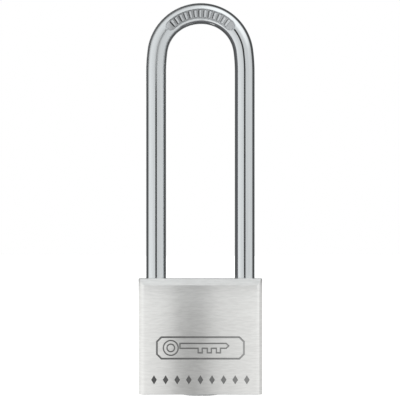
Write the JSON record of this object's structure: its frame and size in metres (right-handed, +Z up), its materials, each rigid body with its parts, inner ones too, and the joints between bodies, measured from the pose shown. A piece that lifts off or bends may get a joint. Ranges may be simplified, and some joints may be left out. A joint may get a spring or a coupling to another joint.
{
  "type": "padlock",
  "caption": "Long-shackle padlock: brushed rectangular body, plated round shackle, turning key cylinder, two sliding latch bolts and pin tumblers.",
  "frame": {"origin": "under the middle of the object, on the face of the cylinder plug, its lowest point", "axes": "+Z up along the shackle, +X to the right seen from the engraved front, which faces -Y"},
  "size_m": [0.03, 0.014, 0.0953],
  "materials": {
    "body": "satin, brushed across the front",
    "closing": "satin, ground flush",
    "shackle": "polished plating",
    "cylinder": "satin nickel plating",
    "pin": "turned brass",
    "spring": "drawn wire",
    "latch": "machined steel"
  },
  "bodies": {
    "lock": {"lock_body": "body", "driver_pin_1": "pin", "driver_pin_2": "pin", "driver_pin_3": "pin", "driver_pin_4": "pin", "pin_spring_1": "spring", "pin_spring_2": "spring", "pin_spring_3": "spring", "pin_spring_4": "spring", "chamber_plug_1": "closing", "chamber_plug_2": "closing", "chamber_plug_3": "closing", "chamber_plug_4": "closing", "cross_bore_plug": "closing", "cylinder_retaining_pin": "latch", "shackle_retaining_pin": "latch", "shackle_spring": "spring"},
    "cylinder": {"cylinder_plug": "cylinder", "cam": "latch", "key_pin_1": "pin", "key_pin_2": "pin", "key_pin_3": "pin", "key_pin_4": "pin"},
    "latch_toe": {"latch_bolt_toe": "latch", "latch_spring_toe": "spring"},
    "latch_heel": {"latch_bolt_heel": "latch", "latch_spring_heel": "spring"},
    "shackle": {"shackle": "shackle"}
  },
  "joints": [
    {"name": "plug_turn", "type": "hinge", "parent": "lock", "child": "cylinder", "pos_m": [0, 0, 0], "axis": [0, 0, 1], "range_deg": [-90, 0]},
    {"name": "latch_toe_slide", "type": "slide", "parent": "lock", "child": "latch_toe", "axis": [1, 0, 0], "range_m": [0, 0.00162]},
    {"name": "latch_heel_slide", "type": "slide", "parent": "lock", "child": "latch_heel", "axis": [-1, 0, 0], "range_m": [0, 0.00162]},
    {"name": "shackle_lift", "type": "slide", "parent": "lock", "child": "shackle", "axis": [0, 0, 1], "range_m": [0, 0.0095], "deforming": ["shackle_spring"]}
  ],
  "couplings": [
    {"joint": "latch_toe_slide", "follows": "plug_turn", "m_per_rad": -0.0010186},
    {"joint": "latch_heel_slide", "follows": "plug_turn", "m_per_rad": -0.0010186}
  ]
}
